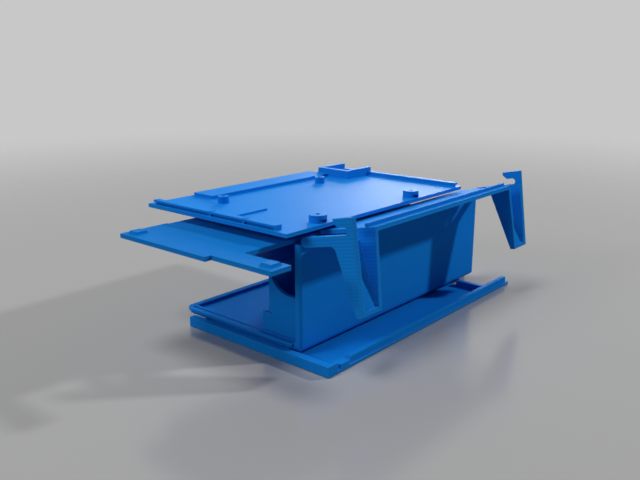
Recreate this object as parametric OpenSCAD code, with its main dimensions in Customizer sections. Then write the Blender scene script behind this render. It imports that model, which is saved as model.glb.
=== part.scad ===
// Printed single-board computer case, shown opened: a sliding base cover, the case body,
// a hook bracket hinged on the body's front wall, a mid plate and the board plate on top.
// Origin: centre of the base cover's underside. X runs along the long side, -Y is the front.

/* [Base cover] */
// How far the base cover stands out beyond the body at each end
cover_side = 4.4; // [4:0.1:8]
// Depth of the base cover along Y
cover_d = 72; // [66:0.5:90]
// Thickness of the base cover's floor
cover_floor = 1; // [0.8:0.1:1.6]
// Overall height of the side rims
rim_h = 3.9; // [3.7:0.1:5]
// Width of a side rim with its inward lip
rim_w = 2.8; // [2.4:0.1:3.6]
// Thickness of a side rim's outer wall
rim_wall = 1.4; // [1:0.1:1.8]
// Thickness of the lip that holds the body's runner down
rim_lip_t = 0.8; // [0.6:0.1:1]
// Overall height of the front rail and of the rib beside the notch
rail_h = 3.5; // [3:0.1:5]
// Thickness of the front rail
rail_t = 2.2; // [1.6:0.1:3]
// Set-back of the front rail from the cover's front edge
rail_inset = 0.9; // [0.5:0.1:1.5]
// Radius along the top edges of the front rail
rail_round = 0.4; // [0.2:0.1:0.7]
// Length of the slope at the front rail's left end
rail_slope = 2; // [1:0.1:3]
// Length of the short rim piece at the front left corner
corner_piece = 5; // [4:0.5:8]
// Gap between that corner piece and the low block
rail_gap = 1.6; // [1:0.1:3]
// Length of the low block between that gap and the front rail
block_l = 5; // [3:0.2:8]
// Height of the low block
block_h = 2.8; // [2:0.1:2.9]
// Distance from the front rail's right end to the cover's right edge
rail_end_gap = 1.3; // [0.6:0.1:2.5]
// Width of the notch in the cover's right edge
notch_w = 19.4; // [14:0.2:24]
// Distance from the cover's front edge to the notch's far end
notch_back = 23; // [20:0.5:30]
// Thickness of the rib along the notch
notch_rib_t = 2.3; // [1.6:0.1:3]

/* [Case body] */
// Length of the case body along X
case_w = 123.2; // [116:0.4:150]
// Depth of the case body along Y
case_d = 62.2; // [56:0.2:68]
// Height of the case body
case_h = 40; // [36:0.5:50]
// Thickness of the front wall
case_wall = 2; // [1.6:0.1:3]
// Thickness of the body's floor
case_floor = 2; // [1.6:0.1:3]
// Outside radius of the bottom edges, at the front and at both ends
case_r = 2.4; // [2:0.1:4]
// Width of the frame round each open end
frame_w = 3.6; // [2.8:0.1:4]
// Height of that frame above the floor
frame_h = 1.2; // [1:0.1:2.5]
// Height of that frame off the front wall
frame_wall_h = 0.4; // [0.3:0.1:1.6]
// Width of the groove for an end panel in the frame
panel_groove = 1.2; // [0.8:0.1:1.6]
// Radius of the back corners, seen from above
back_r = 3; // [1:0.5:5]
// Radius of the front corners, seen from above
front_r = 1.2; // [0.6:0.1:1.8]
// Thickness of the low rim along the back edge
back_rim_t = 2; // [1.4:0.1:3]
// Overhang of the lip round the low rim
lip_out = 0.7; // [0.5:0.1:1.3]
// Height of that lip
lip_h = 1; // [0.6:0.1:1.4]
// Clear depth of the front bay, from the front wall to the partition
bay_d = 15.6; // [13:0.2:19]
// Thickness of the partition
partition_t = 2; // [1.4:0.1:3]
// Length of the partition from the left end wall
partition_l = 76; // [66:1:90]
// Thickness of the end walls, of the shelf and of the cross ribs
rib_t = 1.6; // [1.2:0.1:2.4]
// Depth of the shelf that runs back from the partition's top
shelf_d = 24; // [20:0.5:32]
// Distance from the left end wall to the first cross rib, which carries the mid plate
rib_near = 28; // [26:0.5:32]
// Distance from the left end wall to the second cross rib
rib_far = 50; // [44:1:56]
// Height of the sill under the round cut-out of the end walls
sill_h = 18.7; // [16:0.1:24]
// Radius of that cut-out
cutout_r = 10; // [7:0.5:12]
// Height of the foot behind the end walls
foot_h = 8; // [6:0.5:12]
// Length of that foot
foot_l = 4.6; // [3:0.2:7]

/* [Hook bracket] */
// Distance from each end of the body to the bracket's hooked side plate
bracket_inset = 0.8; // [0.4:0.1:6]
// Thickness of the hooked side plates
side_t = 2.2; // [2:0.1:3]
// Height of the arms that reach back to the hinge
arm_h = 3.5; // [3.4:0.1:4.2]
// Reach from the hinge axis to the back of the legs
arm_l = 12.6; // [11:0.2:15]
// Height of the slot under each hook
slot_h = 2.6; // [2:0.1:3.2]
// Thickness left in front of the slot's round end
slot_front_t = 2.6; // [1.4:0.1:3]
// Reach from the hinge axis to the hook's tip
hook_reach = 13.7; // [12.8:0.1:15]
// Height of each hook above its slot
hook_h = 3; // [2.4:0.1:4]
// Chamfer under the hook's tip
hook_chamfer = 1.7; // [1:0.1:2]
// Reach from the hinge axis to the top of the front edge
top_reach = 21.8; // [20:0.1:26]
// Reach from the hinge axis to the foot of the legs
foot_reach = 19.5; // [19:0.1:21]
// Drop from the hinge axis to the foot of the legs
leg_drop = 25.9; // [20:0.1:30]
// Depth of the legs at the foot
leg_foot_d = 2; // [1.8:0.1:3]
// Fillet between the legs and what they hang from
leg_fillet = 2.2; // [1:0.1:3]
// Thickness of the inner flange, back web and foot of a leg
web_t = 1.5; // [1.2:0.1:2]
// Width of a leg at the top
leg_top_w = 13.3; // [11.4:0.1:15]
// Width of a leg at the foot
leg_foot_w = 11.2; // [8:0.1:11.4]
// Thickness of the deck between the legs
deck_t = 1.55; // [1.3:0.05:2]
// Height of the deck's top above the hinge axis
deck_top = 2.2; // [2:0.1:2.4]
// Reach of the deck behind the hinge axis
deck_back = 3.2; // [2:0.1:3.4]
// Set-back of the deck from the top of the legs' front edge
deck_set_back = 0.4; // [0.3:0.1:1.4]
// Depth of the ledge in front of the deck's rib
ledge_d = 2.7; // [2:0.1:3.5]
// Height of the rib along the deck
rib_h = 1.4; // [0.8:0.1:2]

/* [Mid plate] */
// Length of the mid plate along X
mid_w = 108.2; // [100:0.2:116]
// Depth of the mid plate along Y
mid_d = 71.8; // [68:0.2:78]
// Thickness of the mid plate
mid_t = 1.6; // [1.2:0.1:2.4]
// Width of the arm at the left of the front cut-out
mid_arm_w = 8.6; // [7.4:0.2:12]
// Depth of the front cut-out
mid_cut_d = 20.3; // [19.8:0.1:23]
// Step between the left edge's front and back stretches
mid_step = 2.6; // [1:0.1:4]
// Length of the left edge's front stretch
mid_step_at = 26.4; // [24:0.2:32]
// Step in the back edge
mid_jog = 1; // [0.5:0.1:2]
// Distance from the left edge to that step
mid_jog_at = 20.3; // [16:0.1:26]
// Side of the corner pads
pad_w = 5; // [4:0.1:6]
// Height of the corner pads
pad_h = 1; // [0.6:0.1:1.6]
// Distance of the corner pads from the edges
pad_edge = 2; // [1:0.1:2.4]

/* [Board plate] */
// Length of the board plate along X
board_w = 112.2; // [111.4:0.2:120]
// Depth of the board plate along Y
board_d = 74.2; // [72:0.2:80]
// Thickness of the board plate
board_t = 1.4; // [1.2:0.1:2.4]
// Spacing of the board's screw holes along X
hole_dx = 58; // [50:0.5:62]
// Spacing of the board's screw holes along Y
hole_dy = 49; // [44:0.5:52]
// Distance from the plate's left edge to the first hole
hole_left = 19.8; // [17:0.1:24]
// Distance from the plate's front edge to the first hole
hole_front = 3.7; // [3.6:0.1:6]
// Diameter of the front screw bosses
boss_d = 6.4; // [5:0.1:7]
// Diameter of the back screw bosses
back_boss_d = 4.5; // [3.6:0.1:7]
// Height of the screw bosses
boss_h = 2.8; // [2:0.1:5]
// Diameter of the pilot holes in the bosses
pilot_d = 2; // [1.6:0.1:2.6]
// Width of the nut slots in the front bosses, open to the front
nut_slot_w = 4; // [3.4:0.1:4.8]
// Height of the nut slots
nut_slot_h = 1.3; // [0.8:0.1:1.8]
// Height of the edge rails
edge_rail_h = 1.7; // [1.4:0.1:3]
// Overhang of the edge rails' lips
edge_lip = 1.2; // [0.6:0.1:2]
// Thickness of the edge rails
edge_rail_t = 1.4; // [1:0.1:2]
// Distance of the lips from the plate's ends
edge_inset = 0.9; // [0.5:0.1:1.5]
// Distance from the left edge rail to the plate's front edge
left_rail_front = 5.6; // [3:0.2:10]
// Distance from the left edge rail to the plate's back edge
left_rail_back = 2.2; // [1:0.2:6]
// Distance from the right edge rail to the plate's front edge
right_rail_front = 1.4; // [1:0.1:4]
// Thickness of the stops across the left edge rail
rail_stop_t = 1.2; // [0.8:0.1:2]
// How far those stops rise above the rail
rail_stop_up = 0.2; // [0.1:0.1:0.5]
// Spacing of the two front stops
rail_stop_gap = 15.3; // [12:0.1:20]
// Spacing of the two back stops
rail_stop_gap_back = 17.5; // [12:0.1:20]
// Distance from the plate's left edge to the ledge block
ledge_left = 21.4; // [12:0.1:22.4]
// Length of the ledge block along the back
ledge_l = 71.9; // [64:0.1:72]
// Depth of the ledge block
ledge_w = 11.4; // [8:0.2:13]
// Height of the ledge block
ledge_h = 1.4; // [1:0.1:3]
// Distance from the ledge block to the plate's back edge
ledge_back = 1.7; // [1:0.1:6]
// Length of the open frame beside the ledge block
port_w = 17.6; // [15:0.2:18]
// Distance from the plate's front edge to that open frame
port_front = 48.7; // [44:0.1:52]
// Depth of that open frame
port_d = 18.2; // [16:0.2:20]
// Height of that open frame
port_h = 3.8; // [3:0.1:6]
// Thickness of its walls
port_wall = 2.2; // [1.6:0.1:3]
// Length of the low cable rib
cable_rib_l = 14.4; // [10:0.2:18]
// Thickness of the cable rib
cable_rib_t = 1; // [0.8:0.1:2]
// Height of the cable rib
cable_rib_h = 0.7; // [0.4:0.1:1.2]
// Distance from the plate's left edge to the cable rib
cable_rib_left = 7.3; // [6:0.1:12]
// Distance from the plate's front edge to the cable rib
cable_rib_at = 30.4; // [26:0.2:36]
// Height of the seat rim under the plate
seat_h = 3.1; // [2:0.1:5]
// Thickness of that seat rim
seat_t = 1.6; // [1.2:0.1:2.4]
// Length of the seat rim
seat_w = 60; // [50:0.5:64]
// Depth of the seat rim
seat_d = 38; // [30:0.5:40]

/* [Fits] */
// Clearance of the body's runners in the base cover
slide_clear = 0.1; // [0.05:0.05:0.2]
// How far the runners stand below the body's floor
runner_drop = 1.2; // [0.8:0.1:1.5]
// Gap between the notch's rib and the body's front wall
stop_gap = 1; // [0.4:0.1:2]
// Diameter of the hinge pins
pin_d = 1.8; // [1.4:0.1:2]
// Radial clearance of the hinge pins
pin_clear = 0.06; // [0.02:0.01:0.1]
// Depth of the hinge bores in the arms
bore_depth = 1.6; // [1.2:0.1:1.7]
// Thickness of the hinge ears on the body
ear_t = 2.5; // [1.8:0.1:3.2]
// Side gap between an ear and its arm
ear_gap = 0.2; // [0.1:0.05:0.3]
// Distance of the hinge axis in front of the front wall
pivot_fwd = 1.55; // [1.5:0.05:1.8]
// Height of the hinge axis above the front wall
pivot_up = 1.1; // [1:0.05:1.3]

/* [Opened pose] */
// How far the body stands behind the cover's front edge
case_out = 16.4; // [10:0.2:24]
// Tilt of the hook bracket, front up
bracket_tilt = 12; // [4:1:20]
// How far the mid plate stands out beyond the body's left end
mid_out = 33.6; // [28:0.2:40]
// How far the mid plate reaches in front of the front wall
mid_fwd = 16.8; // [16.6:0.1:17.4]
// How far the board plate stands out beyond the body's left end
board_out = 9; // [6:0.2:14]
// How far the board plate reaches in front of the front wall
board_fwd = 2.4; // [1:0.1:4]
// Distance from the board plate's left edge to its seat rim
seat_left = 14; // [12:0.5:18]
// Distance from the board plate's front edge to its seat rim
seat_front = 14; // [12:0.5:18]

/* [Hidden] */
$fn = 64;
// How far joined solids run into each other, and how far cuts run past a face
eps = 0.01;
past = 1;
print_blue = "#1478c8";

cover_w = case_w + 2 * cover_side;
bracket_w = case_w - 2 * bracket_inset;
block_x = -cover_w / 2 + corner_piece + rail_gap;
rail_x0 = block_x + block_l;
rail_x1 = cover_w / 2 - rail_end_gap;
case_y0 = -cover_d / 2 + case_out;
case_z0 = cover_floor + slide_clear + runner_drop;
runner_t = rim_h - rim_lip_t - cover_floor - 2 * slide_clear;
runner_half = cover_w / 2 - rim_wall - 2 * slide_clear;
runner_y0 = case_r + frame_w;
runner_y1 = case_d - case_out + case_r;
frame_top = case_floor + frame_h;
case_x0 = -case_w / 2;
wall_in = case_x0 + frame_w;
partition_y = case_wall + bay_d;
partition_h = sill_h + cutout_r;
pivot_y = -pivot_fwd;
pivot_z = case_h + pivot_up;
arm_r = arm_h / 2;
ear_x = bracket_w / 2 - side_t - ear_gap;
slot_r = slot_h / 2;
slot_reach = top_reach - slot_front_t;
deck_front = top_reach - deck_set_back;
hook_top = arm_r + slot_h + hook_h;
leg_back = [-arm_l, -arm_r];
leg_heel = [-foot_reach + leg_foot_d, -leg_drop];
leg_toe = [-foot_reach, -leg_drop];
leg_head = [-top_reach, hook_top];
deck_half = bracket_w / 2 - leg_top_w + web_t;
mid_z = case_z0 + case_h;
mid_x0 = case_x0 - mid_out;
mid_y0 = case_y0 - mid_fwd;
board_z = mid_z + mid_t + seat_h;
board_x0 = case_x0 - board_out;
board_y0 = case_y0 - board_fwd;
ledge_y = board_d - ledge_back - ledge_w;
port_x = ledge_left + ledge_l;
edge_rail_x = edge_inset + edge_lip;

function unit(v) = v / norm(v);

// A profile drawn in the YZ plane and drawn out along X from x0
module along_x(x0, length) {
    translate([x0, 0, 0]) rotate([90, 0, 90]) linear_extrude(length) children();
}

// A profile drawn in the XZ plane and drawn out along Y from y0
module along_y(y0, length) {
    translate([0, y0 + length, 0]) rotate([90, 0, 0]) linear_extrude(length) children();
}

// The same part at the left and, mirrored, at the right
module both_ends() {
    children();
    mirror([1, 0, 0]) children();
}

// Fillet in the inner corner p between the directions a and b
module inner_fillet(p, a, b, r) {
    half = acos(a * b) / 2;
    mid = unit(a + b);
    reach = r / tan(half);
    centre = p + mid * r / sin(half);
    difference() {
        polygon([p, p + a * reach, centre, p + b * reach]);
        translate(centre) circle(r);
    }
}

// Section of a side rim: an outer wall with a lip turned inward over the runner
module rim_section() {
    translate([-cover_w / 2, 0]) {
        square([rim_wall, rim_h]);
        translate([0, rim_h - rim_lip_t]) square([rim_w, rim_lip_t]);
    }
}

// Section of the front rail, with its top edges rounded
module rail_section() {
    square([rail_t, rail_h - rail_round]);
    translate([rail_round, 0]) square([rail_t - 2 * rail_round, rail_h]);
    for (y = [rail_round, rail_t - rail_round]) translate([y, rail_h - rail_round]) circle(rail_round);
}

// Front rail, its left end sloped down to the floor
module front_rail() {
    intersection() {
        along_x(0, rail_x1 - rail_x0) rail_section();
        along_y(-eps, rail_t + 2 * eps) polygon([
            [0, 0],
            [rail_x1 - rail_x0, 0],
            [rail_x1 - rail_x0, rail_h],
            [rail_slope, rail_h],
            [0, cover_floor]
        ]);
    }
}

module base_cover() color(print_blue) translate([0, -cover_d / 2, 0]) {
    rail_back = rail_inset + rail_t;
    difference() {
        translate([-cover_w / 2, 0, 0]) cube([cover_w, cover_d, cover_floor]);
        translate([cover_w / 2 - notch_w, rail_back, -past])
            cube([notch_w + past, notch_back - rail_back, cover_floor + 2 * past]);
    }
    along_y(0, cover_d) rim_section();
    mirror([1, 0, 0]) along_y(notch_back, cover_d - notch_back) rim_section();
    translate([-cover_w / 2, 0, 0]) cube([corner_piece, rim_wall, rim_h]);
    translate([block_x, 0, 0]) cube([block_l, rail_back, block_h]);
    translate([rail_x0, rail_inset, 0]) front_rail();
    translate([cover_w / 2 - notch_w - notch_rib_t, rail_back - eps, 0])
        cube([notch_rib_t, case_out - stop_gap - rail_back, rail_h]);
}

// L section of floor and front wall, with the given thicknesses and a round outer corner
module shell_section(floor_t, wall_t) {
    translate([case_r, 0]) square([case_d - case_r, floor_t]);
    translate([0, case_r]) square([wall_t, case_h - case_r]);
    intersection() {
        translate([case_r, case_r]) circle(case_r);
        square(case_r);
    }
    translate([case_r, case_r]) square([max(wall_t - case_r, eps), max(floor_t - case_r, eps)]);
    inner_fillet([wall_t, floor_t], [1, 0], [0, 1], case_r - case_wall + frame_h);
}

// Frame round an open end, with the groove that takes an end panel
module end_frame() {
    difference() {
        along_x(case_x0, frame_w) shell_section(frame_top, case_wall + frame_wall_h);
        along_x(case_x0 + (frame_w - panel_groove) / 2, panel_groove)
            translate([case_wall, case_floor]) square([case_d, case_h]);
    }
}

// Wall just inside an end frame, cut out round at its top, with a low foot behind
module end_wall() {
    along_x(wall_in, rib_t) difference() {
        union() {
            translate([case_wall - eps, case_floor - eps])
                square([bay_d + 2 * eps, partition_h - case_floor]);
            translate([partition_y - eps, case_floor - eps]) square([foot_l + eps, foot_h]);
        }
        translate([case_wall - past, sill_h]) square([bay_d + partition_t / 2 + past - cutout_r, case_h]);
        translate([partition_y + partition_t / 2 - cutout_r, partition_h]) circle(cutout_r);
    }
}

// Section of the partition behind the front bay, with the shelf that runs back from its top
module partition_section() {
    translate([partition_y, case_floor - eps]) square([partition_t, partition_h - case_floor + eps]);
    translate([partition_y, partition_h - rib_t]) square([partition_t + shelf_d, rib_t]);
}

// Lug on the front wall's top edge that carries a hinge pin
module hinge_ear() {
    along_x(-ear_x, ear_t) translate([pivot_y, pivot_z]) {
        circle(arm_r);
        translate([0, -arm_r]) square([pivot_fwd + case_wall, arm_r]);
    }
    translate([-ear_x - ear_gap - bore_depth + pin_clear, pivot_y, pivot_z])
        rotate([0, 90, 0]) cylinder(d = pin_d, h = ear_gap + bore_depth - pin_clear + eps);
}

// What is rounded off the bottom edge at the left end
module bottom_round() {
    along_y(-eps, case_d + 2 * eps) translate([case_x0 - eps, -eps]) difference() {
        square(case_r + eps);
        translate([case_r + eps, case_r + eps]) circle(case_r);
    }
}

// Outline of the body from above with rounded corners, its ends and back grown by the given amount
module plan(grow) {
    translate([case_x0 - grow, front_r]) square([case_w + 2 * grow, case_d - back_r - front_r]);
    translate([case_x0 + back_r, 0]) square([case_w - 2 * back_r, case_d + grow]);
    both_ends() {
        translate([case_x0 + back_r, case_d - back_r]) circle(back_r + grow);
        translate([case_x0 + front_r, front_r]) circle(front_r);
        translate([case_x0 + front_r, 0]) square([back_r, case_d / 2]);
    }
}

// Lip that runs round the two ends and the back
module rim_lip() {
    translate([0, 0, frame_top - lip_h]) linear_extrude(lip_h) difference() {
        plan(lip_out);
        plan(-lip_out);
        translate([-case_w, -eps]) square([2 * case_w, case_r + frame_h]);
    }
}

module case_body() color(print_blue) translate([0, case_y0, case_z0]) {
    difference() {
        intersection() {
            union() {
                along_x(case_x0, case_w) shell_section(case_floor, case_wall);
                both_ends() end_frame();
                translate([case_x0, case_d - back_rim_t, 0]) cube([case_w, back_rim_t, frame_top]);
            }
            linear_extrude(case_h) plan(0);
        }
        both_ends() bottom_round();
    }
    rim_lip();
    both_ends() {
        end_wall();
        hinge_ear();
        translate([-runner_half, runner_y0, -runner_drop])
            cube([runner_half + wall_in, runner_y1 - runner_y0, runner_t]);
    }
    along_x(wall_in + rib_t / 2, partition_l + rib_t / 2) partition_section();
    for (x = [rib_near, rib_far])
        translate([wall_in + rib_t + x, partition_y + eps, case_floor - eps])
            cube([rib_t, shelf_d, case_h - case_floor + eps]);
}

// Outline of a hooked side plate, hinge axis at the origin, front to the left
module side_plate_section() {
    difference() {
        union() {
            polygon([leg_head, leg_toe, leg_heel, leg_back, [-hook_reach, arm_r], [-hook_reach, hook_top]]);
            translate([-top_reach + arm_h, -arm_r]) square([top_reach - arm_h, arm_h]);
            circle(arm_r);
            inner_fillet(leg_back, [1, 0], unit(leg_heel - leg_back), leg_fillet);
        }
        translate([-slot_reach + slot_r, arm_r]) square([slot_reach, slot_h]);
        translate([-slot_reach + slot_r, arm_r + slot_r]) circle(slot_r);
        polygon([
            [-hook_reach + eps, arm_r + slot_h - eps],
            [-hook_reach - hook_chamfer, arm_r + slot_h - eps],
            [-hook_reach + eps, arm_r + slot_h + hook_chamfer]
        ]);
    }
}

// Line up a leg's back edge as far as the height z
function back_at(z) = leg_heel + (leg_back - leg_heel) * (z - leg_heel[1]) / (leg_back[1] - leg_heel[1]);

// Outline of a leg's inner flange, up to the deck
module flange_section() {
    deck_under = deck_top - deck_t;
    corner = back_at(deck_under);
    polygon([[-deck_front, deck_top], leg_toe, leg_heel, corner, [corner[0], deck_top]]);
    inner_fillet(corner, [1, 0], unit(leg_heel - corner), leg_fillet);
}

// Outline of the web behind a leg and of its foot
module web_section() {
    top = back_at(-arm_r);
    polygon([leg_heel, top, top - [web_t, 0], leg_heel - [web_t, 0]]);
    polygon([leg_toe, leg_heel, leg_heel + [0, web_t], leg_toe + [-eps, web_t]]);
}

// Front view of a leg between the side plate and the inner flange's far side
module leg_front(x_from_top, x_from_foot) {
    polygon([
        [-bracket_w / 2 + x_from_top, deck_top],
        [-bracket_w / 2 + leg_top_w, deck_top],
        [-bracket_w / 2 + leg_foot_w, -leg_drop],
        [-bracket_w / 2 + x_from_foot, -leg_drop]
    ]);
}

module bracket_leg() {
    intersection() {
        along_x(-bracket_w / 2, leg_top_w) flange_section();
        along_y(-2 * top_reach, 3 * top_reach) leg_front(leg_top_w - web_t, leg_foot_w - web_t);
    }
    intersection() {
        along_x(-bracket_w / 2, leg_top_w) web_section();
        along_y(-2 * top_reach, 3 * top_reach) leg_front(side_t - eps, side_t - eps);
    }
}

module hook_bracket() color(print_blue)
    translate([0, case_y0 + pivot_y, case_z0 + pivot_z]) rotate([-bracket_tilt, 0, 0]) {
        both_ends() {
            difference() {
                along_x(-bracket_w / 2, side_t) side_plate_section();
                translate([-bracket_w / 2 + side_t - bore_depth, 0, 0]) rotate([0, 90, 0])
                    cylinder(d = pin_d + 2 * pin_clear, h = bore_depth + eps);
            }
            bracket_leg();
        }
        translate([-deck_half, -deck_front, deck_top - deck_t])
            cube([2 * deck_half, deck_front + deck_back, deck_t]);
        translate([-deck_half, -deck_front + ledge_d, deck_top - eps])
            cube([2 * deck_half, web_t, rib_h + eps]);
    }

// Side view of a corner pad, with sloped flanks
module pad_section() {
    polygon([
        [0, -eps],
        [pad_w, -eps],
        [pad_w, 0],
        [pad_w - pad_h / 2, pad_h],
        [pad_h / 2, pad_h],
        [0, 0]
    ]);
}

module pad() {
    intersection() {
        along_x(0, pad_w) pad_section();
        along_y(0, pad_w) pad_section();
    }
}

module mid_plate() color(print_blue) translate([mid_x0, mid_y0, mid_z]) {
    linear_extrude(mid_t) polygon([
        [mid_step, 0],
        [mid_step + mid_arm_w, 0],
        [mid_step + mid_arm_w, mid_cut_d],
        [mid_w, mid_cut_d],
        [mid_w, mid_d - mid_jog],
        [mid_jog_at, mid_d - mid_jog],
        [mid_jog_at, mid_d],
        [0, mid_d],
        [0, mid_step_at],
        [mid_step, mid_step_at]
    ]);
    translate([mid_step + pad_edge, pad_edge, mid_t]) pad();
    translate([pad_edge, mid_d - pad_edge - pad_w, mid_t]) pad();
}

// Section of an edge rail at the left: a thin upright with a lip turned outward
module edge_rail_section() {
    translate([edge_rail_x, 0]) square([edge_rail_t, edge_rail_h]);
    translate([edge_inset, edge_rail_h / 2]) square([edge_lip + edge_rail_t, edge_rail_h / 2]);
}

// Left edge rail, with stops across its groove
module left_rail() {
    along_y(left_rail_front, board_d - left_rail_front - left_rail_back) edge_rail_section();
    for (y = [0, rail_stop_gap, rail_stop_gap + rail_stop_gap_back])
        translate([edge_inset, left_rail_front + y, 0])
            cube([edge_lip + edge_rail_t, rail_stop_t, edge_rail_h + rail_stop_up]);
}

// Open frame with three walls; the right edge rail closes its fourth side
module port_frame() {
    translate([port_x, port_front, 0]) difference() {
        cube([port_w, port_d, port_h]);
        translate([port_wall, port_wall, -eps]) cube([port_w, port_d - 2 * port_wall, port_h + past]);
    }
}

// Seat rim under the plate that stands on the mid plate
module seat_rim() {
    translate([seat_left, seat_front, -seat_h]) difference() {
        cube([seat_w, seat_d, seat_h + eps]);
        translate([seat_t, seat_t, -past]) cube([seat_w - 2 * seat_t, seat_d - 2 * seat_t, seat_h + past]);
    }
}

// Slot in a front boss that takes a nut from the front
module nut_slot() {
    cylinder(d = nut_slot_w, h = nut_slot_h);
    translate([-nut_slot_w / 2, -boss_d / 2 - past, 0])
        cube([nut_slot_w, boss_d / 2 + past, nut_slot_h]);
}

module board_plate() color(print_blue) translate([board_x0, board_y0, board_z]) {
    difference() {
        union() {
            cube([board_w, board_d, board_t]);
            translate([hole_left, hole_front, board_t - eps])
                for (x = [0, hole_dx]) {
                    translate([x, 0, 0]) cylinder(d = boss_d, h = boss_h + eps);
                    translate([x, hole_dy, 0]) cylinder(d = back_boss_d, h = boss_h + eps);
                }
        }
        translate([hole_left, hole_front, -eps])
            for (x = [0, hole_dx], y = [0, hole_dy])
                translate([x, y, 0]) cylinder(d = pilot_d, h = board_t + boss_h + past);
        for (x = [0, hole_dx]) translate([hole_left + x, hole_front, board_t]) nut_slot();
    }
    translate([0, 0, board_t - eps]) {
        translate([ledge_left, ledge_y, 0]) cube([ledge_l, ledge_w, ledge_h + eps]);
        port_frame();
        left_rail();
        translate([board_w, 0, 0]) mirror([1, 0, 0])
            along_y(right_rail_front, port_front + port_d - right_rail_front) edge_rail_section();
        translate([cable_rib_left, cable_rib_at, 0]) cube([cable_rib_l, cable_rib_t, cable_rib_h + eps]);
    }
    seat_rim();
}

base_cover();
case_body();
hook_bracket();
mid_plate();
board_plate();
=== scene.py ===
import bpy
import math
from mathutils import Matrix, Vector

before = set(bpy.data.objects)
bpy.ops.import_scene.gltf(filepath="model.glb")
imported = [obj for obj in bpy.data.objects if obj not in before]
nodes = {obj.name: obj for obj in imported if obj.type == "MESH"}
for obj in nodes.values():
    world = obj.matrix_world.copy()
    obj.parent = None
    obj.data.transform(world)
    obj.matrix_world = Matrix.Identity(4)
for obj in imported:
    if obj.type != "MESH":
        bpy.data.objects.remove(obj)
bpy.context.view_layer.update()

mm = 0.001
scene = bpy.context.scene
print("loaded", len(nodes), "pieces of the opened case")


def toLinear(hexText):
    parts = [int(hexText[i:i + 2], 16) / 255 for i in (1, 3, 5)]
    return [c / 12.92 if c <= 0.04045 else ((c + 0.055) / 1.055) ** 2.4 for c in parts] + [1.0]


def addNode(tree, kind, values=None, links=None, **settings):
    node = tree.nodes.new(kind)
    for key, value in settings.items():
        setattr(node, key, value)
    for key, value in (values or {}).items():
        node.inputs[key].default_value = value
    for key, source in (links or {}).items():
        tree.links.new(source, node.inputs[key])
    return node


# view: the photograph's standing point, a little above the case at its front left
viewPoint = {
    "place": (-0.230585, -0.173674, 0.105305),
    "ahead": (0.73290, 0.62951, -0.25801),
    "lens": 39.41,
    "sensor": 36.0,
    "nearest": 0.01,
    "farthest": 20,
}
cameraData = bpy.data.cameras.new("photo_view")
cameraData.sensor_fit = "HORIZONTAL"
cameraData.sensor_width = viewPoint["sensor"]
cameraData.lens = viewPoint["lens"]
cameraData.clip_start = viewPoint["nearest"]
cameraData.clip_end = viewPoint["farthest"]
camera = bpy.data.objects.new("photo_view", cameraData)
camera.location = viewPoint["place"]
camera.rotation_euler = Vector(viewPoint["ahead"]).to_track_quat("-Z", "Y").to_euler()
scene.collection.objects.link(camera)
scene.camera = camera
print("camera set")


# shared by all five prints: layers are 0.2 mm and threads 0.4 mm on the real ones, drawn six and
# three times as coarse, because they are finer than a pixel here
plaPrint = {
    "ior": 1.46,
    "layerMm": 1.2, "layerWander": 0.25,    # level lines on upright faces, and how unsteady they are
    "threadMm": 1.2, "threadWander": 0.35,  # slanting rows on flat faces
    "lineDetail": 1.0,
    "grooveShadeHex": "#0c66b4", "grooveShade": 0.2,      # painted shade in the groove between two threads, a deeper blue
    "relief": 0.5, "reliefMm": 0.05,
    "flatFrom": 0.6, "flatTo": 0.8,         # how level a face lies where lines give way to rows
    "driftDetail": 2.0,
    "grainMm": 1.5, "grainDetail": 3.0,
    "roughSpread": 0.05,
    "highlightFrom": 0.99, "highlightTo": 0.8,          # how far an edge bends where its painted highlight begins and is full
    "edgeSamples": 6,
}
bandPeriod = 0.31416   # period of a band wave at scale 1
slantPeriod = 0.44429  # the same for a slanting wave, along a level face


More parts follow.
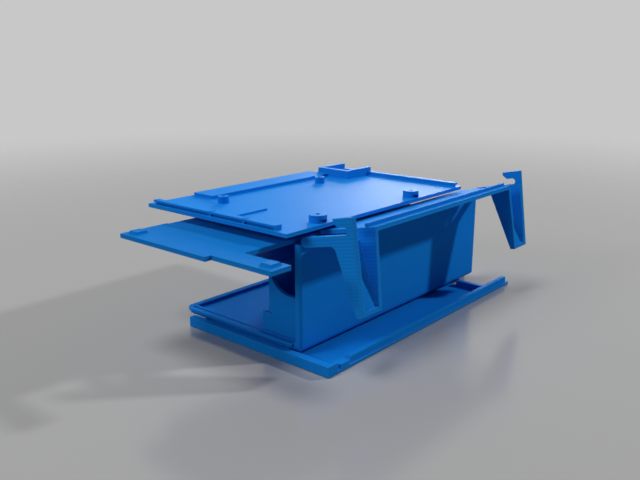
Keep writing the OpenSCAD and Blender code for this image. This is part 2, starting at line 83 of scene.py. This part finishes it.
# PLA, printed in layers from a melted thread: an even satin blue, upright faces carry fine level
# lines, flat faces carry slanting rows of thread, and the edges are softly rounded
def printedPla(name, look):
    material = bpy.data.materials.new(name)
    material.use_nodes = True
    tree = material.node_tree
    tree.nodes.clear()
    tilt = math.radians(look["tiltDeg"])

    # the piece's own print frame: tilted pieces were printed level
    coords = addNode(tree, "ShaderNodeTexCoord")
    place = addNode(tree, "ShaderNodeVectorRotate", {"Angle": tilt},
                    {"Vector": coords.outputs["Object"]}, rotation_type="X_AXIS")
    facing = addNode(tree, "ShaderNodeVectorRotate", {"Angle": tilt},
                     {"Vector": coords.outputs["Normal"]}, rotation_type="X_AXIS")
    facingParts = addNode(tree, "ShaderNodeSeparateXYZ", {}, {"Vector": facing.outputs["Vector"]})
    upness = addNode(tree, "ShaderNodeMath", {}, {0: facingParts.outputs["Z"]}, operation="ABSOLUTE")
    isFlat = addNode(tree, "ShaderNodeMapRange",
                     {"From Min": plaPrint["flatFrom"], "From Max": plaPrint["flatTo"]},
                     {"Value": upness.outputs["Value"]})

    # level lines and slanting rows, each where its faces are
    layers = addNode(tree, "ShaderNodeTexWave",
                     {"Scale": bandPeriod / (plaPrint["layerMm"] * mm),
                      "Distortion": plaPrint["layerWander"], "Detail": plaPrint["lineDetail"]},
                     {"Vector": place.outputs["Vector"]}, wave_type="BANDS", bands_direction="Z")
    rows = addNode(tree, "ShaderNodeTexWave",
                   {"Scale": slantPeriod / (plaPrint["threadMm"] * mm),
                    "Distortion": plaPrint["threadWander"], "Detail": plaPrint["lineDetail"]},
                   {"Vector": place.outputs["Vector"]}, wave_type="BANDS", bands_direction="DIAGONAL")
    relief = addNode(tree, "ShaderNodeMix", {},
                     {"Factor": isFlat.outputs["Result"], "A": layers.outputs["Fac"],
                      "B": rows.outputs["Fac"]}, data_type="FLOAT")

    # slow drift of the melt over a few centimetres, and a fine grain
    drift = addNode(tree, "ShaderNodeTexNoise",
                    {"Scale": 1 / (look["driftMm"] * mm), "Detail": plaPrint["driftDetail"]},
                    {"Vector": place.outputs["Vector"]})
    grain = addNode(tree, "ShaderNodeTexNoise",
                    {"Scale": 1 / (plaPrint["grainMm"] * mm), "Detail": plaPrint["grainDetail"]},
                    {"Vector": place.outputs["Vector"]})

    # edges: where the softened normal leaves the flat one, a painted highlight makes the plastic a little
    # paler
    soft = addNode(tree, "ShaderNodeBevel", {"Radius": look["edgeMm"] * mm},
                   samples=plaPrint["edgeSamples"])
    flatWay = addNode(tree, "ShaderNodeNewGeometry")
    same = addNode(tree, "ShaderNodeVectorMath", {},
                   {0: soft.outputs["Normal"], 1: flatWay.outputs["Normal"]}, operation="DOT_PRODUCT")
    edgeHighlightMask = addNode(tree, "ShaderNodeMapRange",
                     {"From Min": plaPrint["highlightFrom"], "From Max": plaPrint["highlightTo"], "To Max": look["edgeHighlight"]},
                     {"Value": same.outputs["Value"]})

    # colour: the two blues of the melt, then painted shade in the grooves between threads, then painted
    # highlights on the edges
    hue = addNode(tree, "ShaderNodeMix", {"A": toLinear(look["deepHex"]), "B": toLinear(look["blueHex"])},
                  {"Factor": drift.outputs["Fac"]}, data_type="RGBA")
    # painted shade: the grooves between threads are drawn a deeper blue
    grooveShadeMask = addNode(tree, "ShaderNodeMapRange", {"To Min": plaPrint["grooveShade"], "To Max": 0.0},
                     {"Value": relief.outputs["Result"]})
    grooveShaded = addNode(tree, "ShaderNodeMix", {"B": toLinear(plaPrint["grooveShadeHex"])},
                    {"Factor": grooveShadeMask.outputs["Result"], "A": hue.outputs["Result"]}, data_type="RGBA")
    # painted highlight: the edges are drawn paler
    highlighted = addNode(tree, "ShaderNodeMix", {"B": toLinear(look["edgeHighlightHex"])},
                   {"Factor": edgeHighlightMask.outputs["Result"], "A": grooveShaded.outputs["Result"]}, data_type="RGBA")
    dull = addNode(tree, "ShaderNodeMapRange",
                   {"To Min": look["rough"] - plaPrint["roughSpread"],
                    "To Max": look["rough"] + plaPrint["roughSpread"]},
                   {"Value": grain.outputs["Fac"]})
    bump = addNode(tree, "ShaderNodeBump",
                   {"Strength": plaPrint["relief"], "Distance": plaPrint["reliefMm"] * mm},
                   {"Height": relief.outputs["Result"], "Normal": soft.outputs["Normal"]})
    plastic = addNode(tree, "ShaderNodeBsdfPrincipled",
                      {"IOR": plaPrint["ior"], "Specular IOR Level": look["gloss"]},
                      {"Base Color": highlighted.outputs["Result"], "Roughness": dull.outputs["Result"],
                       "Normal": bump.outputs["Normal"]})
    addNode(tree, "ShaderNodeOutputMaterial", {}, {"Surface": plastic.outputs["BSDF"]})
    return material


def dress(nodeName, look):
    piece = nodes[nodeName]
    material = printedPla("printed_PLA_" + nodeName, look)
    piece.data.materials.clear()
    piece.data.materials.append(material)
    print("dressed", nodeName)


# each piece: its two blues, and the colour and strength of the painted highlight on its edges
baseCover = {
    "blueHex": "#1484e0", "deepHex": "#127cd4", "driftMm": 25, "tiltDeg": 0,
    "edgeHighlightHex": "#56a4ea", "edgeHighlight": 0.6, "edgeMm": 0.3, "rough": 0.72, "gloss": 0.02,
}
dress("base_cover", baseCover)

caseBody = {
    "blueHex": "#1484e0", "deepHex": "#127cd4", "driftMm": 30, "tiltDeg": 0,
    "edgeHighlightHex": "#56a4ea", "edgeHighlight": 0.45, "edgeMm": 0.3, "rough": 0.6, "gloss": 0.008,
}
dress("case_body", caseBody)

hookBracket = {
    "blueHex": "#1586e4", "deepHex": "#137ed8", "driftMm": 20, "tiltDeg": 12,
    "edgeHighlightHex": "#56a4ea", "edgeHighlight": 0.6, "edgeMm": 0.3, "rough": 0.72, "gloss": 0.015,
}
dress("hook_bracket", hookBracket)

# a little darker than the body's blues: painted shade, for the board plate's shadow over the mid plate
midPlate = {
    "blueHex": "#127ed6", "deepHex": "#1076ca", "driftMm": 30, "tiltDeg": 0,
    "edgeHighlightHex": "#3f97e4", "edgeHighlight": 0.3, "edgeMm": 0.2, "rough": 0.5, "gloss": 0.03,
}
dress("mid_plate", midPlate)

# a little paler than the body's blues: painted light, for the light on the board plate, which stands highest
boardPlate = {
    "blueHex": "#168aea", "deepHex": "#1482de", "driftMm": 30, "tiltDeg": 0,
    "edgeHighlightHex": "#429ae6", "edgeHighlight": 0.3, "edgeMm": 0.2, "rough": 0.55, "gloss": 0.031,
}
dress("board_plate", boardPlate)


# floor: a painted board, pale grey and faintly glossy, that fades into the backdrop far out
studioFloor = {
    "hex": "#acacac", "rough": 0.18, "gloss": 1.0, "half": 2.0, "fadeFrom": 0.2, "fadeTo": 0.75,
    "drop": 0.0002,  # a hair below the cover, so that the two faces don't fight
}
half = studioFloor["half"]
corners = [(-half, -half, 0), (half, -half, 0), (half, half, 0), (-half, half, 0)]
floorMesh = bpy.data.meshes.new("studio_floor")
floorMesh.from_pydata(corners, [], [(0, 1, 2, 3)])
floor = bpy.data.objects.new("studio_floor", floorMesh)
floor.location.z = -studioFloor["drop"]
scene.collection.objects.link(floor)

paintedBoard = bpy.data.materials.new("painted_board")
paintedBoard.use_nodes = True
floorTree = paintedBoard.node_tree
floorTree.nodes.clear()
coords = addNode(floorTree, "ShaderNodeTexCoord")
away = addNode(floorTree, "ShaderNodeVectorMath", {}, {0: coords.outputs["Object"]}, operation="LENGTH")
fade = addNode(floorTree, "ShaderNodeMapRange",
               {"From Min": studioFloor["fadeFrom"], "From Max": studioFloor["fadeTo"]},
               {"Value": away.outputs["Value"]}, interpolation_type="SMOOTHSTEP")
paint = addNode(floorTree, "ShaderNodeBsdfPrincipled",
                {"Base Color": toLinear(studioFloor["hex"]), "Roughness": studioFloor["rough"],
                 "Specular IOR Level": studioFloor["gloss"]})
clear = addNode(floorTree, "ShaderNodeBsdfTransparent")
blend = addNode(floorTree, "ShaderNodeMixShader", {},
                {0: fade.outputs["Result"], 1: paint.outputs["BSDF"], 2: clear.outputs["BSDF"]})
addNode(floorTree, "ShaderNodeOutputMaterial", {}, {"Surface": blend.outputs["Shader"]})
floorMesh.materials.append(paintedBoard)
print("floor laid")


# light: soft boxes by bearing and height in degrees round the middle of the case,
# level 1 lights a facing colour as it is written
caseMiddle = Vector((0, 0, 0.02))


def studioLamp(name, lamp):
    bearing = math.radians(lamp["bearing"])
    height = math.radians(lamp["height"])
    outward = math.cos(height)
    way = Vector((math.cos(bearing) * outward, math.sin(bearing) * outward, math.sin(height)))
    data = bpy.data.lights.new(name, "AREA")
    data.shape = "DISK"
    data.size = lamp["size"]
    data.energy = lamp["level"] * math.pi ** 2 * lamp["far"] ** 2
    box = bpy.data.objects.new(name, data)
    box.location = caseMiddle + way * lamp["far"]
    box.rotation_euler = way.to_track_quat("Z", "Y").to_euler()
    box.visible_glossy = lamp["gloss"]
    scene.collection.objects.link(box)
    return box


# only the sheen box is mirrored in the plastic, so no box shows as a white patch on the floor
keyBox = {"bearing": -42, "height": 32, "far": 1.6, "size": 0.1, "level": 0.47, "gloss": False}
studioLamp("key_box", keyBox)

topBox = {"bearing": 162, "height": 72, "far": 1.4, "size": 0.5, "level": 0.445, "gloss": False}
studioLamp("top_box", topBox)

sideBox = {"bearing": 165, "height": 25, "far": 1.4, "size": 0.4, "level": 0.235, "gloss": False}
studioLamp("side_box", sideBox)

# the sheen box lights the case alone, its glare and long shadow stay off the floor
sheenBox = {"bearing": 27.5, "height": 14, "far": 1.5, "size": 0.62, "level": 0.9, "gloss": True}
sheenLamp = studioLamp("sheen_box", sheenBox)
casePieces = bpy.data.collections.new("case_pieces")
for piece in nodes.values():
    casePieces.objects.link(piece)
sheenLamp.light_linking.receiver_collection = casePieces
print("lamps set")

# backdrop: pale grey to the eye and in reflections, a faint white fill for the rest
backdrop = {"hex": "#c8c8c8", "strength": 1.0, "fillHex": "#ffffff", "fill": 0.06}
world = bpy.data.worlds.new("backdrop")
world.use_nodes = True
scene.world = world
worldTree = world.node_tree
worldTree.nodes.clear()
path = addNode(worldTree, "ShaderNodeLightPath")
seen = addNode(worldTree, "ShaderNodeMath", {},
               {0: path.outputs["Is Camera Ray"], 1: path.outputs["Is Transmission Ray"]},
               operation="MAXIMUM")
shiny = addNode(worldTree, "ShaderNodeMath", {},
                {0: seen.outputs["Value"], 1: path.outputs["Is Glossy Ray"]}, operation="MAXIMUM")
shown = addNode(worldTree, "ShaderNodeBackground",
                {"Color": toLinear(backdrop["hex"]), "Strength": backdrop["strength"]})
ambient = addNode(worldTree, "ShaderNodeBackground",
                  {"Color": toLinear(backdrop["fillHex"]), "Strength": backdrop["fill"]})
pick = addNode(worldTree, "ShaderNodeMixShader", {},
               {0: shiny.outputs["Value"], 1: ambient.outputs["Background"],
                2: shown.outputs["Background"]})
addNode(worldTree, "ShaderNodeOutputWorld", {}, {"Surface": pick.outputs["Shader"]})
scene.view_settings.view_transform = "Standard"
print("backdrop set")
